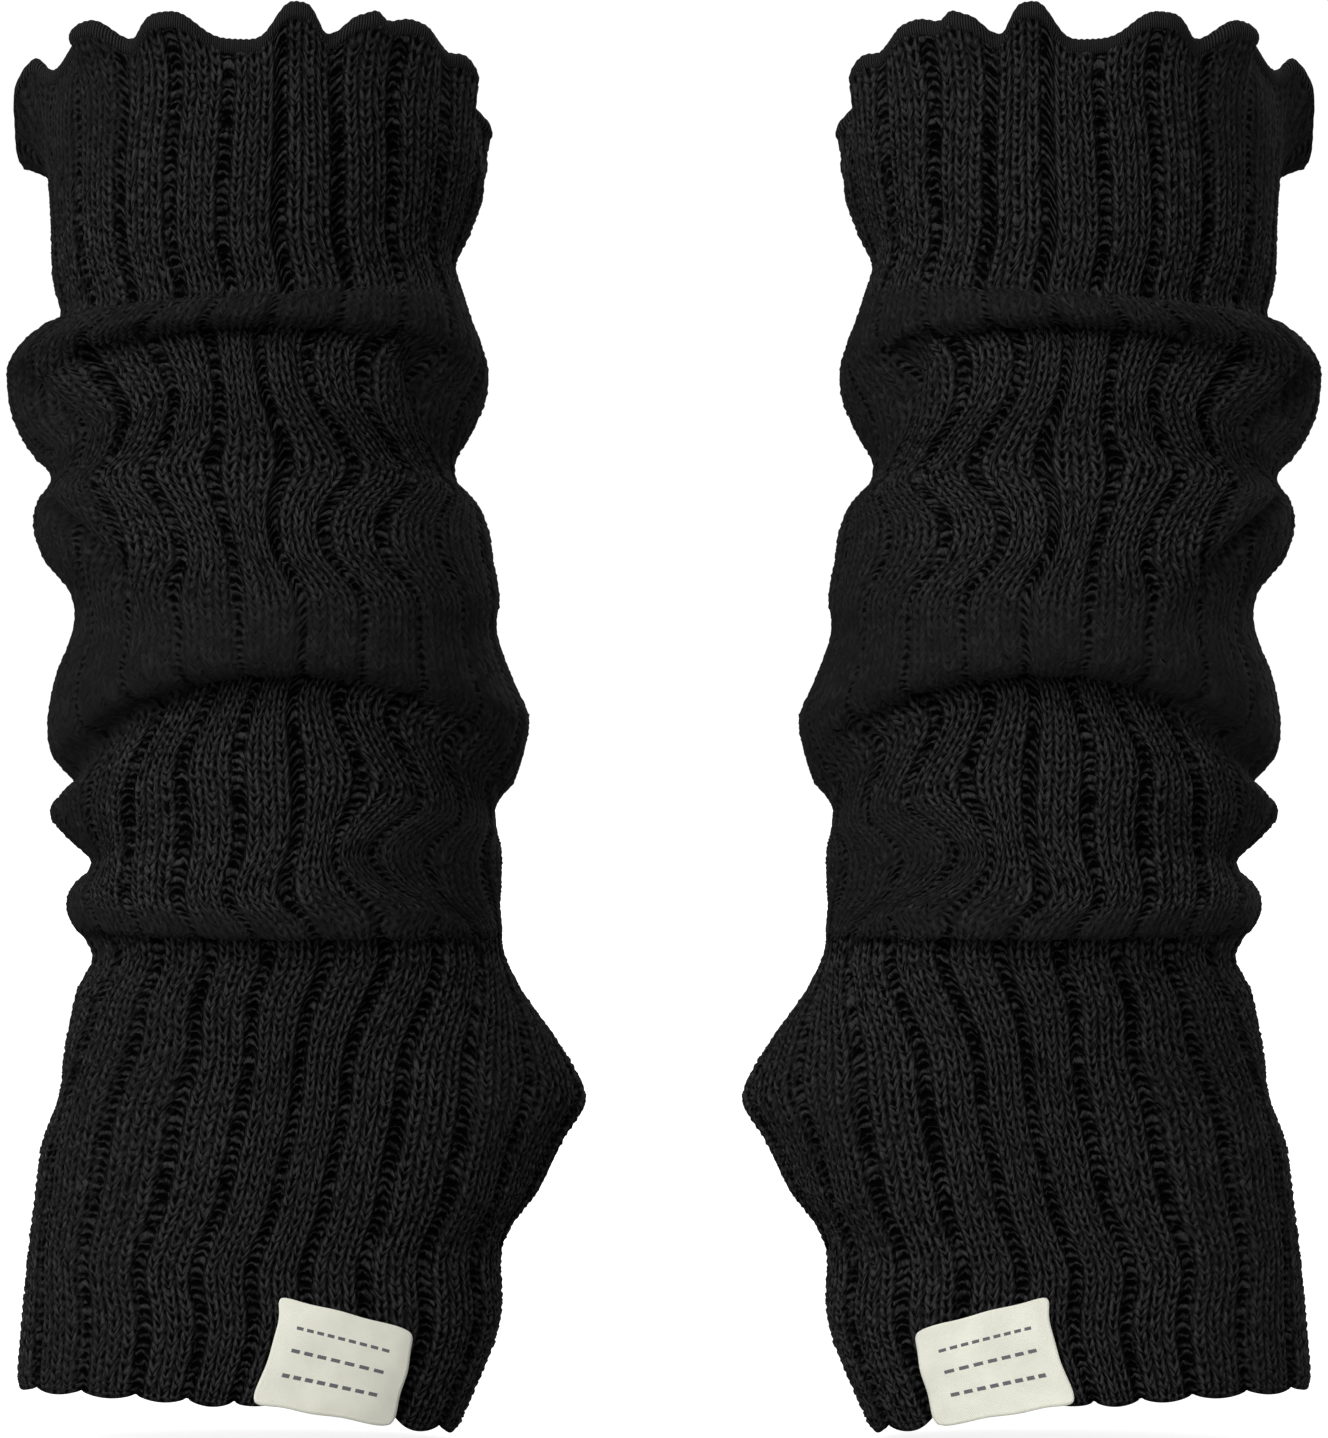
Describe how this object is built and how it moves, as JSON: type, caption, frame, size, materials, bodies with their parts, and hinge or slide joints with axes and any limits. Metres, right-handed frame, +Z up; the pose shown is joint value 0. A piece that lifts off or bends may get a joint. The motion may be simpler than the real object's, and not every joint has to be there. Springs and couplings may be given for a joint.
{
  "type": "pair of arm warmers",
  "caption": "Pair of long slouchy rib-knit arm warmers, hollow as when worn, with a lettuce-edge frill at the top, soft slouch rolls and a thumb slit.",
  "frame": {"origin": "on the axis of the left sleeve of the picture, in the snug upper part of its cuff, where the forearm holds it", "axes": "+Z up along the sleeves towards their frilled tops, +X to the right as seen from the front, the front with the labels faces -Y"},
  "size_m": [0.2828, 0.107, 0.3024],
  "materials": {
    "knit": "near-black chunky 3x1 rib knit in a soft matt yarn",
    "overlock": "near-black overlocked thread, smoother than the knit",
    "label": "cream woven label, bare of words, slightly satin"
  },
  "bodies": {
    "root": {"left_sleeve": "knit", "left_frill_edge": "overlock", "left_label": "label", "right_sleeve": "knit", "right_frill_edge": "overlock", "right_label": "label"}
  },
  "joints": []
}
